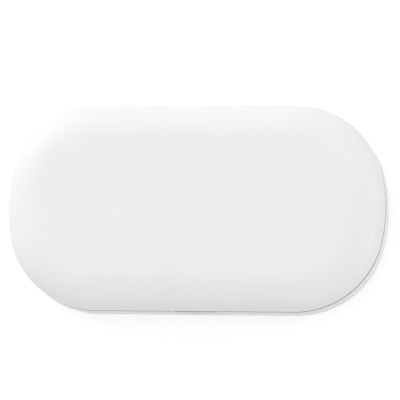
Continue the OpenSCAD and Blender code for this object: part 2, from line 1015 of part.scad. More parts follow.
module hinge_pin() {
    color(steel)
        axle(pin_d / 2, pin_root, pin_tip);
}

module hinge_bush() {
    color(steel)
        difference() {
            axle(bush_d / 2, -pin_tip, -pin_root);
            axle(bush_bore_d / 2, -pin_tip - over, -pin_root + over);
        }
}

module tray_screws() {
    color(steel)
        for (place = foot_places) {
            drum(place.x, place.y, head_r, tray_head_z, tray_head_z + head_h);
            drum(place.x, place.y, screw_r, tray_head_z + head_h - eps, tray_under);
        }
}

module rubber_feet() {
    soft = 0.4;
    color(rubber_grey)
        for (place = foot_places)
            translate([place.x, place.y, 0])
                rotate_extrude()
                    polygon([
                        [0, 0], [foot_d / 2 - soft, 0], [foot_d / 2, soft],
                        [foot_d / 2, foot_proud + foot_seat], [0, foot_proud + foot_seat]
                    ]);
}

module base_magnets() {
    color(steel)
        for (side = [-1, 1])
            drum(side * magnet_x, -magnet_y, magnet_d / 2, magnet_top - magnet_t, magnet_top);
}

// ---------- button ----------

module power_button() {
    flange_y = front_in + flange_gap;
    color(shell_white) {
        translate([0, -half_w - button_proud, button_z])
            rotate([-90, 0, 0])
                linear_extrude(flange_y + eps + half_w + button_proud)
                    pill(button_l, button_h);
        translate([0, flange_y, button_z])
            rotate([-90, 0, 0])
                linear_extrude(flange_t)
                    pill(button_l + 2 * flange_reach, button_h + 2 * flange_reach);
        rod(0, button_z, stem_r, flange_y + flange_t - eps, plunger_front);
    }
}
module switch_plunger() {
    color(rubber_grey)
        rod(0, button_z, plunger_r, plunger_front, plunger_end);
}

plunger_room = 0.3;
plunger_end = switch_front + plunger_in - button_travel - plunger_room;

// ---------- lid ----------

module lid_shell() {
    color(shell_white)
        difference() {
            lid_half(0, rim_round, 0);
            difference() {
                lid_half(wall, 0, -over);
                lid_bosses();
            }
            back_flat(lid_rim_z - over, body_h);
            for (place = ring_places)
                drum(place.x, place.y, screw_r + pilot_gap, lid_frame_top - over, lid_screw_top);
            for (x = leaf_screw_x)
                rod(x, leaf_screw_z, leaf_screw_d / 2 + pilot_gap, arm_back - over, leaf_screw_end);
        }
}
lid_pilot_depth = 7.5;
lid_screw_top = lid_frame_top + lid_pilot_depth;
leaf_screw_skin = 1;
leaf_screw_end = flat_y - leaf_screw_skin;

// The lid as a body above its rim, moved inwards
module lid_half(inset, round_r, start) {
    translate([0, 0, lid_rim_z])
        oval_body()
            edge_section(lid_h, lid_side_r, lid_crown_r, inset, round_r, start);
}

// Everything that hangs inside the lid shell
module lid_bosses() {
    for (place = ring_places)
        drum(place.x, place.y, boss_r, lid_frame_top, body_h - boss_sink);
    for (x = leaf_screw_x)
        rod(x, leaf_screw_z, leaf_boss_r, arm_back, half_w);
}
boss_sink = 6.5;
leaf_boss_r = 2.6;

module lid_frame() {
    color(liner_grey)
        difference() {
            union() {
                oval_ring(liner_inset, lid_mouth_inset, lid_frame_under, lid_frame_top);
                for (place = lid_magnet_places)
                    drum(place.x, place.y, magnet_cup_r, lid_frame_top - eps, lid_cup_top);
            }
            block(
                [-leaf_half - liner_gap, pocket_back + liner_gap, lid_frame_under - over],
                [leaf_half + liner_gap, half_w, lid_frame_top + over]
            );
            for (place = lid_magnet_places)
                drum(place.x, place.y, magnet_d / 2 + fit, lid_magnet_z, lid_cup_top + over);
            for (place = ring_places) {
                drum(place.x, place.y, screw_r + hole_gap, lid_frame_under - over, lid_frame_top + over);
                drum(place.x, place.y, head_r + fit, lid_frame_under - over, lid_head_top);
            }
        }
}
lid_magnet_places = [[-magnet_x, -magnet_y], [magnet_x, -magnet_y], [sensor_x, magnet_y]];
lid_magnet_z = lid_frame_under + magnet_skin;
lid_cup_top = lid_magnet_z + magnet_t + magnet_room;
lid_head_top = lid_frame_under + flat_head_h;

module lid_reflector() {
    color(mirror_grey)
        over_reflector()
            well(lid_ceiling_z - lid_frame_top);
}

module hinge_leaf() {
    slot_half = lead_d / 2 + lead_room;
    color(shell_white)
        difference() {
            union() {
                axle(barrel_r, -leaf_half, leaf_half);
                block([-leaf_half, arm_front, axis_z], [leaf_half, flat_y, lid_rim_z]);
                block([-leaf_half, arm_front, axis_z], [leaf_half, arm_back, lid_rim_z + arm_h]);
            }
            axle(bush_d / 2 + running_gap, -leaf_half - over, pin_room - pin_root);
            axle(bush_bore_d / 2, -pin_root, lead_up_x + slot_half);
            axle(pin_d / 2 + running_gap, pin_root - pin_room, leaf_half + over);
            block(
                [lead_up_x - slot_half, arm_front - over, axis_z],
                [lead_up_x + slot_half, axis_y + lead_d / 2 + fit, lid_rim_z + arm_h + over]
            );
            for (x = leaf_screw_x)
                rod(x, leaf_screw_z, leaf_screw_d / 2 + hole_gap, arm_front - over, arm_back + over);
        }
}

lead_room = 0.5;
pin_room = 0.2;

module leaf_screws() {
    color(steel)
        for (x = leaf_screw_x) {
            rod(x, leaf_screw_z, leaf_screw_d / 2, arm_front - eps, leaf_screw_end - pilot_room);
            rod(x, leaf_screw_z, leaf_head_r, arm_front - flat_head_h, arm_front);
        }
}

module lid_led_board() {
    color(board_green)
        over_reflector()
            translate([0, 0, strip_h])
                strip_board();
}

module lid_uvc_leds() {
    color(lamp_cream)
        over_reflector()
            strip_lamps();
}

module lid_windows() {
    color(clear_tint)
        over_reflector()
            strip_windows();
}

module lid_led_screws() {
    color(steel)
        over_reflector()
            strip_screws();
}

module lid_screws() {
    color(steel)
        for (place = ring_places) {
            drum(place.x, place.y, head_r, lid_head_top - flat_head_h + fit, lid_head_top);
            drum(place.x, place.y, screw_r, lid_head_top - eps, lid_screw_top - pilot_room);
        }
}

module lid_magnets() {
    color(steel)
        for (side = [-1, 1])
            drum(side * magnet_x, -magnet_y, magnet_d / 2, lid_magnet_z, lid_magnet_z + magnet_t);
}

module interlock_magnet() {
    color(steel)
        drum(sensor_x, magnet_y, magnet_d / 2, lid_magnet_z, lid_magnet_z + magnet_t);
}

lead_start = 1.3;

module lid_lead() {
    end_z = lid_ceiling_z + strip_h + strip_t / 2;
    wall_end_z = lid_rim_z + upright(lid_h, lid_side_r, lid_crown_r);
    high_bend = end_z - wall_end_z + lead_start;
    color(lead_white)
        lead([
            [lead_meet_x, axis_y, axis_z],
            [lead_up_x, axis_y, axis_z],
            [lead_up_x, axis_y, end_z],
            [lead_up_x, strip_w / 2, end_z]
        ], lead_d, [lead_bend, high_bend]);
}

base_shell();
base_bezel();
base_tray();
phone_rests();
light_seal();
base_led_board();
base_uvc_leds();
base_windows();
base_led_screws();
main_board();
board_chips();
board_screws();
usb_socket();
hall_sensor();
button_board();
tact_switch();
status_led();
light_pipe();
button_lead();
base_led_lead();
base_lead();
hinge_pin();
hinge_bush();
tray_screws();
rubber_feet();
base_magnets();
power_button();
switch_plunger();
lid_shell();
lid_frame();
lid_reflector();
hinge_leaf();
leaf_screws();
lid_led_board();
lid_uvc_leds();
lid_windows();
lid_led_screws();
lid_screws();
lid_magnets();
interlock_magnet();
lid_lead();
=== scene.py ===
"""Looks of a closed clamshell ultraviolet box for phones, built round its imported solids. Metres."""

import logging
import math
from contextlib import contextmanager
from dataclasses import dataclass
from enum import Enum
from typing import Any, Callable, Iterator, Sequence

import bmesh
import bpy
from mathutils import Matrix, Vector


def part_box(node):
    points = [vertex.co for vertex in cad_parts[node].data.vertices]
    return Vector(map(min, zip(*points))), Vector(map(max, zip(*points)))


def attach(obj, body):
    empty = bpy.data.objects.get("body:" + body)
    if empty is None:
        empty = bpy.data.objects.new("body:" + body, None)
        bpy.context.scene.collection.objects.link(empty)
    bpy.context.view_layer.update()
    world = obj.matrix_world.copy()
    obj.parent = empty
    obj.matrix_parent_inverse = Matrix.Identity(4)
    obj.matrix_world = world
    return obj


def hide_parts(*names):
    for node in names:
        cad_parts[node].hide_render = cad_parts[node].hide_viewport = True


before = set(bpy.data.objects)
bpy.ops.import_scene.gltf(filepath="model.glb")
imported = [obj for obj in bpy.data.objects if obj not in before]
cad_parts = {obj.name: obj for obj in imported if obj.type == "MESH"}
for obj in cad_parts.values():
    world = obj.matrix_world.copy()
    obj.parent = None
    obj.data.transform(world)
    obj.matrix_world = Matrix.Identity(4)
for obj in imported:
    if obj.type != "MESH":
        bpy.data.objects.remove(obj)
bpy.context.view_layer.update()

MM = 0.001
MERGE = 1e-6  # points of a CAD mesh closer than this are one
ON_LEVEL = 10 * MERGE  # points closer to a level than this lie on it
STRAIGHT = 0.99  # a normal with more than this along a way points that way
FLAT = math.radians(0.4)  # faces that turn less than this are one
SMOOTH = math.radians(34)  # edges that turn less than this are shaded smooth
NOISE = (0.3, 0.7)  # most values of a noise texture lie between these
WAVE = 0.314  # width of a wave texture's band at scale 1
WHITE_LIGHT = (1.0, 1.0, 1.0, 1.0)
LOG = logging.getLogger("uv_box")

Colour = tuple[float, float, float]
Place = tuple[float, float, float]
Outline = Sequence[tuple[float, float]]
Piece = bpy.types.Object
Socket = bpy.types.NodeSocket
Test = Callable[[Any], bool]


class Body(Enum):
    """The moving bodies that a piece can ride on."""

    BASE = "base"
    BUTTON = "button"
    LID = "lid"


class Slot(Enum):
    """The material slot names of the new pieces."""

    CLEAR_SILICONE = "clear_silicone"
    SEAL = "seal"
    LAMP_PACKAGE = "lamp_package"
    STEEL = "steel"
    CHIP = "chip"
    SOCKET_STEEL = "socket_steel"
    LIGHT_GUIDE = "light_guide"
    FOOT_RUBBER = "foot_rubber"
    BUTTON = "button"


class Pick(Enum):
    """What is selected in edit mode."""

    EDGES = "EDGE"
    FACES = "FACE"


def opaque(colour: Colour) -> tuple[float, float, float, float]:
    """Add a full alpha to a colour."""
    return (*colour, 1.0)


def shade(colour: Colour, amount: float) -> Colour:
    """Make a colour lighter or darker."""
    return tuple(min(1.0, c * amount) for c in colour)


class Graph:
    """Adds nodes to one node tree and links them."""

    def __init__(self, tree: bpy.types.NodeTree) -> None:
        """Keep the tree that the nodes go into."""
        self.tree = tree

    def node(self, kind: str, links: dict[Any, Any] | None = None, **settings: Any) -> bpy.types.Node:
        """Add a node.

        Args:
            kind: the node's type.
            links: what each input gets, a socket or a value.
            settings: the node's own properties.

        Returns:
            The new node.
        """
        made = self.tree.nodes.new(kind)
        for key, value in settings.items():
            setattr(made, key, value)
        for key, value in (links or {}).items():
            self.put(made.inputs[key], value)
        return made

    def put(self, socket: Socket, value: Any) -> None:
        """Link an output to an input, or set the input's own value.

        Args:
            socket: the input.
            value: an output socket or a plain value.
        """
        if isinstance(value, bpy.types.NodeSocket):
            self.tree.links.new(value, socket)
        else:
            socket.default_value = value

    def math(self, operation: str, first: Any, second: Any = 0.5) -> Socket:
        """Join two values by one operation."""
        return self.node("ShaderNodeMath", {0: first, 1: second}, operation=operation).outputs[0]

    def blend(self, amount: Any, first: Any, second: Any) -> Socket:
        """Mix two values."""
        return self.node("ShaderNodeMix", {0: amount, 2: first, 3: second}, data_type="FLOAT").outputs[0]

    def mix(self, amount: Any, first: Any, second: Any) -> Socket:
        """Mix two colours, each a colour or a socket."""
        pair = [opaque(c) if isinstance(c, tuple) else c for c in (first, second)]
        return self.node("ShaderNodeMix", {0: amount, 6: pair[0], 7: pair[1]}, data_type="RGBA").outputs[2]

    def seen_directly(self) -> Socket:
        """Give 1 for rays of the camera, mirrors and glass, and 0 for those that carry light.

        Returns:
            The value.
        """
        path = self.node("ShaderNodeLightPath").outputs
        rays = self.math("ADD", path["Is Camera Ray"], path["Is Glossy Ray"])
        return self.math("MINIMUM", self.math("ADD", rays, path["Is Transmission Ray"]), 1.0)


class Coat(Graph):
    """The nodes of one new material, round its Principled shader."""

    def __init__(self, name: str) -> None:
        """Start a material.

        Args:
            name: what the material is called.
        """
        self.material = bpy.data.materials.new(name)
        self.material.use_nodes = True
        super().__init__(self.material.node_tree)
        self.shader = self.tree.nodes["Principled BSDF"]
        self.place = self.node("ShaderNodeTexCoord").outputs["Object"]

    def set(self, name: str, value: Any) -> None:
        """Set or link one input of the shader."""
        self.put(self.shader.inputs[name], value)

    def noise(self, size_mm: float, detail: float, stretch: Place = (1, 1, 1)) -> Socket:
        """Add noise of a size and with finer layers on the object's place, scaled along each axis."""
        place = self.node("ShaderNodeMapping", {"Vector": self.place, "Scale": stretch}).outputs[0]
        return self.node("ShaderNodeTexNoise", {
            "Vector": place, "Scale": 1 / (size_mm * MM), "Detail": detail}).outputs[0]

    def cells(self, size_mm: float, **settings: Any) -> bpy.types.Node:
        """Add cells of a size on the object's place."""
        links = {"Vector": self.place, "Scale": 1 / (size_mm * MM)}
        return self.node("ShaderNodeTexVoronoi", links, **settings)

    def bands(self, width_mm: float, way: str) -> Socket:
        """Add bands of a width along the X or Y axis of the object's place."""
        links = {"Vector": self.place, "Scale": WAVE / (width_mm * MM)}
        return self.node("ShaderNodeTexWave", links, bands_direction=way).outputs["Fac"]

    def spread(self, value: Socket, middle: float, half: float) -> Socket:
        """Map a noise value to a range that is given by its middle and half its width."""
        return self.node("ShaderNodeMapRange", {
            "Value": value, "From Min": NOISE[0], "From Max": NOISE[1],
            "To Min": middle - half, "To Max": middle + half}).outputs["Result"]

    def veil(self, size_mm: float, detail: float) -> Socket:
        """Give a noise that uses the whole of 0 to 1."""
        return self.spread(self.noise(size_mm, detail), 0.5, 0.5)

    def bump(self, height: Any, depth_mm: float, normal: Socket | None = None) -> Socket:
        """Add relief to a normal, or to the mesh's own, with the depth of a height of 1."""
        start = {} if normal is None else {"Normal": normal}
        return self.node("ShaderNodeBump", {"Height": height, "Distance": depth_mm * MM, **start}).outputs[0]

    def within(self, low_mm: Place, high_mm: Place) -> Socket:
        """Give 1 inside a box and 0 outside it.

        Args:
            low_mm: the box's lowest corner.
            high_mm: its highest corner.

        Returns:
            The value.
        """
        axes = self.node("ShaderNodeSeparateXYZ", {0: self.place}).outputs
        inside: Any = 1.0
        for axis, low, high in zip(axes, low_mm, high_mm):
            inside = self.math("MULTIPLY", inside, self.math("GREATER_THAN", axis, low * MM))
            inside = self.math("MULTIPLY", inside, self.math("LESS_THAN", axis, high * MM))
        return inside

    def soft_edges(self, radius_mm: float) -> Socket:
        """Give a normal that is rounded at sharp edges."""
        return self.node("ShaderNodeBevel", {"Radius": radius_mm * MM}, samples=4).outputs[0]


@dataclass(frozen=True)
class Finish:
    """What every finish has: a name, a main colour, a roughness with its spread, and softened edges."""

    name: str
    colour: Colour
    roughness: float
    gloss_spread: float = 0.05
    edge_mm: float = 0.12

    def build(self, coat: Coat) -> None:
        """Build the shader's nodes."""
        raise NotImplementedError

    def tones(self, coat: Coat, amount: Socket, first: float, second: float) -> Socket:
        """Mix two tones of the colour, each a share of it."""
        return coat.mix(amount, shade(self.colour, first), shade(self.colour, second))

    def gloss(self, coat: Coat, noise: Socket) -> None:
        """Let the roughness vary with a noise."""
        coat.set("Roughness", coat.spread(noise, self.roughness, self.gloss_spread))

    def relief(self, coat: Coat, height: Socket, depth_mm: float) -> None:
        """Raise the surface by a height, over softened edges."""
        coat.set("Normal", coat.bump(height, depth_mm, coat.soft_edges(self.edge_mm)))

    def material(self) -> bpy.types.Material:
        """Give the material, built the first time that it is asked for.

        Returns:
            The material.
        """
        known = bpy.data.materials.get(self.name)
        if known is None:
            coat = Coat(self.name)
            self.build(coat)
            known = coat.material
        return known


@dataclass(frozen=True)
class PaintedShade:
    """Painted shade on a moulding: a box between two corners, darkened to stand in for the shade in a recess.
    """

    low_mm: Place
    high_mm: Place
    amount: float


@dataclass(frozen=True)
class Moulding(Finish):
    """Moulded plastic with a faint cloud in its colour, a spark-eroded grain, softened edges and painted
    shade in any given boxes.
    """

    gloss_spread: float = 0.04
    gloss_mm: float = 7
    edge_mm: float = 0.25
    grain_mm: float = 0.3
    grain_depth_mm: float = 0.004
    flow_mm: float = 12
    flow_depth_mm: float = 0.006
    cloud_mm: float = 45
    cloud: float = 0.012
    painted_shades: tuple[PaintedShade, ...] = ()

    def build(self, coat: Coat) -> None:
        """Build the plastic's nodes.

        Args:
            coat: the nodes of the material.
        """
        colour = self.tones(coat, coat.veil(self.cloud_mm, 2), 1 - self.cloud, 1 + self.cloud)
        # painted shade: each box's colour is darkened to stand in for the shade that falls in a recess
        for shaded_box in self.painted_shades:
            colour = coat.mix(coat.within(shaded_box.low_mm, shaded_box.high_mm), colour, shade(self.colour, shaded_box.amount))
        coat.set("Base Color", colour)
        self.gloss(coat, coat.noise(self.gloss_mm, 4))
        flow = coat.bump(coat.noise(self.flow_mm, 1), self.flow_depth_mm, coat.soft_edges(self.edge_mm))
        coat.set("Normal", coat.bump(coat.noise(self.grain_mm, 2), self.grain_depth_mm, flow))


@dataclass(frozen=True)
class MetalFilm(Finish):
    """Vacuum-metallised plastic: bright, a little wavy, with fine draw marks."""

    edge_mm: float = 0.3
    veil_mm: float = 25
    veil_tone: float = 0.97
    mark_mm: float = 0.5
    mark_stretch: Place = (0.06, 1, 1)
    wave_mm: float = 9
    wave_depth_mm: float = 0.02

    def build(self, coat: Coat) -> None:
        """Build the film's nodes.

        Args:
            coat: the nodes of the material.
        """
        coat.set("Metallic", 1.0)
        coat.set("Base Color", self.tones(coat, coat.veil(self.veil_mm, 3), self.veil_tone, 1))
        self.gloss(coat, coat.noise(self.mark_mm, 2, self.mark_stretch))
        self.relief(coat, coat.noise(self.wave_mm, 1), self.wave_depth_mm)


@dataclass(frozen=True)
class Elastomer(Finish):
    """Opaque rubber or silicone with a dusty bloom and a fine tooth."""

    gloss_spread: float = 0.08
    gloss_mm: float = 1.5
    edge_mm: float = 0.2
    dust_mm: float = 3
    bloom: float = 0.12
    sheen: float = 0.2
    tooth_mm: float = 0.25
    tooth_depth_mm: float = 0.012

    def build(self, coat: Coat) -> None:
        """Build the rubber's nodes.

        Args:
            coat: the nodes of the material.
        """
        coat.set("Base Color", self.tones(coat, coat.veil(self.dust_mm, 5), 1 - self.bloom, 1 + self.bloom))
        self.gloss(coat, coat.noise(self.gloss_mm, 4))
        coat.set("Sheen Weight", self.sheen)
        self.relief(coat, coat.noise(self.tooth_mm, 3), self.tooth_depth_mm)


@dataclass(frozen=True)
class Glazing(Finish):
    """A clear or frosted solid: quartz, a light guide or clear silicone."""

    gloss_spread: float = 0.02
    bend: float = 1.46
    clear: float = 1.0
    haze_mm: float = 4
    haze_tone: float = 0.97
    ripple_mm: float = 2
    ripple_depth_mm: float = 0.003

    def build(self, coat: Coat) -> None:
        """Build the clear solid's nodes.

        Args:
            coat: the nodes of the material.
        """
        coat.set("Transmission Weight", self.clear)
        coat.set("IOR", self.bend)
        coat.set("Base Color", self.tones(coat, coat.veil(self.haze_mm, 4), self.haze_tone, 1))
        self.gloss(coat, coat.noise(self.haze_mm, 4))
        self.relief(coat, coat.noise(self.ripple_mm, 2), self.ripple_depth_mm)


@dataclass(frozen=True)
class PlatedMetal(Finish):
    """Plated or drawn metal with drawn streaks and a faint mottle."""

    gloss_spread: float = 0.07
    streak_mm: float = 0.15
    streak_stretch: Place = (0.08, 1, 1)
    streak_depth_mm: float = 0.004
    mottle_mm: float = 1.2
    mottle: float = 0.9
    mottle_tone: float = 0.86

    def build(self, coat: Coat) -> None:
        """Build the metal's nodes.

        Args:
            coat: the nodes of the material.
        """
        coat.set("Metallic", 1.0)
        amount = coat.math("MULTIPLY", coat.cells(self.mottle_mm).outputs["Distance"], self.mottle)
        coat.set("Base Color", self.tones(coat, amount, 1, self.mottle_tone))
        streaks = coat.noise(self.streak_mm, 3, self.streak_stretch)
        self.gloss(coat, streaks)
        self.relief(coat, streaks, self.streak_depth_mm)


@dataclass(frozen=True)
class SolderMask(Finish):
    """A lacquered circuit board: tracks stand out under the mask, and the cut edge shows the laminate."""

    gloss_spread: float = 0.06
    gloss_mm: float = 2
    field_mm: float = 7
    field_tone: float = 0.8
    track_mm: float = 0.9
    track_from: float = 0.55
    track_tone: float = 1.45
    track_depth_mm: float = 0.03
    laminate: Colour = (0.42, 0.36, 0.16)
    laminate_shows: float = 0.8

    def build(self, coat: Coat) -> None:
        """Build the board's nodes.

        Args:
            coat: the nodes of the material.
        """
        fields = coat.cells(self.field_mm, distance="CHEBYCHEV").outputs["Color"]
        pick = coat.math("GREATER_THAN", coat.node("ShaderNodeSeparateColor", {0: fields}).outputs[0], 0.5)
        wave = coat.blend(pick, *(coat.bands(self.track_mm, way) for way in ("X", "Y")))
        track = coat.math("GREATER_THAN", wave, self.track_from)
        face = self.tones(coat, track, self.field_tone, self.track_tone)
        normal = coat.node("ShaderNodeSeparateXYZ", {0: coat.node("ShaderNodeTexCoord").outputs["Normal"]})
        upright = coat.math("LESS_THAN", coat.math("ABSOLUTE", normal.outputs["Z"]), 0.5)
        cut_edge = coat.math("MULTIPLY", upright, self.laminate_shows)
        coat.set("Base Color", coat.mix(cut_edge, face, self.laminate))
        self.gloss(coat, coat.noise(self.gloss_mm, 3))
        coat.set("Normal", coat.bump(track, self.track_depth_mm))


@dataclass(frozen=True)
class Ceramic(Finish):
    """Fired ceramic with fine specks."""

    gloss_spread: float = 0.08
    gloss_mm: float = 1
    edge_mm: float = 0.06
    speck_mm: float = 0.18
    speck_from: float = 0.62
    speck_tone: float = 0.75
    speck_depth_mm: float = 0.004

    def build(self, coat: Coat) -> None:
        """Build the ceramic's nodes.

        Args:
            coat: the nodes of the material.
        """
        specks = coat.math("GREATER_THAN", coat.noise(self.speck_mm, 3), self.speck_from)
        coat.set("Base Color", self.tones(coat, specks, 1, self.speck_tone))
        self.gloss(coat, coat.noise(self.gloss_mm, 3))
        self.relief(coat, coat.noise(self.speck_mm, 2), self.speck_depth_mm)


SHELL_COLOUR = (0.86, 0.86, 0.865)
TRIM_COLOUR = (0.84, 0.84, 0.845)
# Painted shade on the base shell: the rebate under the seam and the scoop's hollow are darkened to stand in
# for the shade in these recesses, which draws the seam and the scoop as dark lines
SEAM_PAINTED_SHADE = PaintedShade((-120, -70, 22.35), (120, 70, 23.6), 0.38)
SCOOP_PAINTED_SHADE = PaintedShade((-14.6, -60.65, 17.5), (14.6, -57.5, 23.6), 0.5)

SATIN_WHITE = Moulding("satin_white_moulding", SHELL_COLOUR, 0.34)
WHITE_WITH_PAINTED_SHADE = Moulding(
    "satin_white_moulding_with_painted_shade", SHELL_COLOUR, 0.34, painted_shades=(SEAM_PAINTED_SHADE, SCOOP_PAINTED_SHADE))
KEY_WHITE = Moulding("key_white_moulding", TRIM_COLOUR, 0.3, grain_mm=0.2)
ARM_WHITE = Moulding("hinge_white_moulding", TRIM_COLOUR, 0.42, grain_mm=0.4, grain_depth_mm=0.01)
LINER_GREY = Moulding("matt_liner_moulding", (0.72, 0.73, 0.74), 0.56, grain_mm=0.5, grain_depth_mm=0.02)
CHIP_EPOXY = Moulding(
    "black_epoxy_moulding", (0.03, 0.03, 0.035), 0.55, grain_mm=0.12, edge_mm=0.06, cloud=0.2)
PLUNGER_BLACK = Moulding("black_plunger_moulding", (0.1, 0.1, 0.1), 0.45, edge_mm=0.1, cloud=0.1)
JACKET = Moulding("lead_jacket_vinyl", (0.82, 0.82, 0.8), 0.5, grain_mm=0.2, edge_mm=0.1, cloud=0.03)
MIRROR = MetalFilm("metallised_reflector", (0.86, 0.87, 0.88), 0.13)
SEAL_GREY = Elastomer("grey_seal_silicone", (0.45, 0.46, 0.48), 0.62, bloom=0.05)
FOOT_GREY = Elastomer("grey_foot_rubber", (0.3, 0.3, 0.31), 0.78)
REST_CLEAR = Glazing(
    "clear_rest_silicone", (0.9, 0.93, 0.95), 0.3, gloss_spread=0.04, bend=1.41, clear=0.15)
QUARTZ = Glazing("polished_quartz", (0.96, 0.98, 1.0), 0.04)
GUIDE = Glazing("frosted_light_guide", (0.92, 0.94, 0.95), 0.45, gloss_spread=0.08, bend=1.49, clear=0.7)
BOARD_GREEN = SolderMask("green_solder_mask", (0.05, 0.24, 0.13), 0.36)
LAMP_CERAMIC = Ceramic("lamp_ceramic", (0.85, 0.8, 0.62), 0.6)
CAPACITOR = Ceramic("capacitor_ceramic", (0.42, 0.3, 0.2), 0.55)
LAMP_DIE = Ceramic("lamp_die", (0.25, 0.3, 0.42), 0.3, speck_mm=0.08)
ZINC = PlatedMetal("zinc_plated_steel", (0.62, 0.63, 0.65), 0.3)
STAINLESS = PlatedMetal("drawn_stainless", (0.6, 0.6, 0.62), 0.26, streak_stretch=(1, 0.08, 1))
NICKEL = PlatedMetal("nickel_plating", (0.66, 0.66, 0.68), 0.2, mottle_mm=3)
GOLD = PlatedMetal("gold_contact", (0.9, 0.68, 0.3), 0.24)
TIN = PlatedMetal("tinned_lead", (0.7, 0.7, 0.7), 0.34, mottle_mm=0.4)


@dataclass(frozen=True)
class Box:
    """The lowest and the highest corner of a solid."""

    low: Vector
    high: Vector

    @property
    def middle(self) -> Vector:
        """The middle of the box."""
        return (self.low + self.high) / 2

    @property
    def size(self) -> Vector:
        """The box's three lengths."""
        return self.high - self.low


def free_hands() -> None:
    """Leave edit mode and deselect every object."""
    if bpy.context.object is not None and bpy.context.object.mode != "OBJECT":
        bpy.ops.object.mode_set(mode="OBJECT")
    bpy.ops.object.select_all(action="DESELECT")


def take(*pieces: Piece) -> None:
    """Select only these pieces and make the first one active.

    Args:
        pieces: what is selected.
    """
    free_hands()
    for piece in pieces:
        piece.select_set(True)
    bpy.context.view_layer.objects.active = pieces[0]


@contextmanager
def editing(piece: Piece) -> Iterator[None]:
    """Work on a piece in edit mode, with nothing selected at first.

    Args:
        piece: what is worked on.

    Yields:
        Nothing, once the piece is in edit mode.
    """
    take(piece)
    bpy.ops.object.mode_set(mode="EDIT")
    bpy.ops.mesh.select_all(action="DESELECT")
    yield
    bpy.ops.object.mode_set(mode="OBJECT")


def pick(piece: Piece, kind: Pick, test: Test) -> None:
    """Select the faces or edges that pass a test, in edit mode.

    Args:
        piece: what is being edited.
        kind: faces or edges.
        test: says whether an item is wanted.
    """
    bpy.ops.mesh.select_mode(type=kind.value)
    bpy.ops.mesh.select_all(action="DESELECT")
    mesh = bmesh.from_edit_mesh(piece.data)
    for item in mesh.faces if kind is Pick.FACES else mesh.edges:
        if test(item):
            item.select_set(True)
    bmesh.update_edit_mesh(piece.data)


def faces_at(way: Place, level: float) -> Test:
    """Make a test for the faces that point one way, along an axis, and lie at one level along it."""
    direction = Vector(way)
    return lambda face: face.normal.dot(direction) > STRAIGHT and abs(
        face.calc_center_median().dot(direction) - level) < MERGE


def rim_of(way: Place, level: float) -> Test:
    """Make a test for the edges at one level between a face that points one way and one that doesn't."""
    direction = Vector(way)
    return lambda edge: len({face.normal.dot(direction) > STRAIGHT for face in edge.link_faces}) == 2 and all(
        abs(v.co.dot(direction) - level) < ON_LEVEL for v in edge.verts)


def rounded(radius_mm: float, steps: int = 4) -> None:
    """Round the selected edges, in edit mode."""
    bpy.ops.mesh.bevel(offset=radius_mm * MM, segments=steps, affect="EDGES")


def inset(width_mm: float) -> None:
    """Inset the selected faces, in edit mode."""
    bpy.ops.mesh.inset(thickness=width_mm * MM)


def pushed(rise: float) -> None:
    """Extrude the selected faces along the Z axis, in edit mode."""
    bpy.ops.mesh.extrude_region_move(TRANSFORM_OT_translate={"value": (0, 0, rise)})


def resized(share: Place, level: float = 0.0) -> None:
    """Resize what is selected about the origin, or a point over it, in edit mode."""
    bpy.ops.transform.resize(value=share, center_override=(0, 0, level))


def rename(piece: Piece, name: str) -> Piece:
    """Name a piece and its mesh."""
    piece.name = piece.data.name = name
    return piece


def settled(name: str) -> Piece:
    """Put the place of the primitive that was just added into its mesh, and name it."""
    bpy.ops.object.transform_apply(location=True, rotation=True, scale=True)
    return rename(bpy.context.object, name)


def block(name: str, middle: Sequence[float], size: Sequence[float]) -> Piece:
    """Add a block.

    Args:
        name: what it is called.
        middle: its middle.
        size: its three lengths.

    Returns:
        The block.
    """
    free_hands()
    bpy.ops.mesh.primitive_cube_add(size=1, location=middle)
    bpy.context.object.scale = size
    return settled(name)


def shaped(shares: Outline, radius: float, height: float) -> list[tuple[float, float]]:
    """Size an outline that is given in shares of a radius and a height."""
    return [(r * radius, z * height) for r, z in shares]


def turned(name: str, outline: Outline, sides: int) -> Piece:
    """Turn an outline on the Z axis, from a disc that is extruded and resized step by step.

    Args:
        name: what the piece is called.
        outline: radius and height of each ring, from the bottom up.
        sides: how many sides each ring has.

    Returns:
        The closed piece.
    """
    free_hands()
    radius, level = outline[0]
    bpy.ops.mesh.primitive_circle_add(vertices=sides, radius=radius, fill_type="NGON", location=(0, 0, level))
    piece = settled(name)
    with editing(piece):
        bpy.ops.mesh.select_mode(type=Pick.FACES.value)
        bpy.ops.mesh.select_all(action="SELECT")
        for next_radius, next_level in outline[1:]:
            pushed(next_level - level)
            ratio = next_radius / radius
            resized((ratio, ratio, 1), next_level)
            radius, level = next_radius, next_level
        bpy.ops.mesh.select_all(action="SELECT")
        bpy.ops.mesh.normals_make_consistent(inside=False)
        bpy.ops.mesh.select_all(action="DESELECT")
    return piece


def merged_copy(node: str, name: str) -> Piece:
    """Copy a CAD solid, merge its loose triangles and join its flat faces.

    Args:
        node: the CAD node.
        name: what the copy is called.

    Returns:
        The copy, on no body yet.
    """
    piece = bpy.data.objects.new(name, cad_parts[node].data.copy())
    piece.data.name = name
    bpy.context.scene.collection.objects.link(piece)
    take(piece)
    bpy.ops.mesh.customdata_custom_splitnormals_clear()
    with editing(piece):
        bpy.ops.mesh.select_all(action="SELECT")
        bpy.ops.mesh.remove_doubles(threshold=MERGE)
        bpy.ops.mesh.dissolve_limited(angle_limit=FLAT)
    return piece


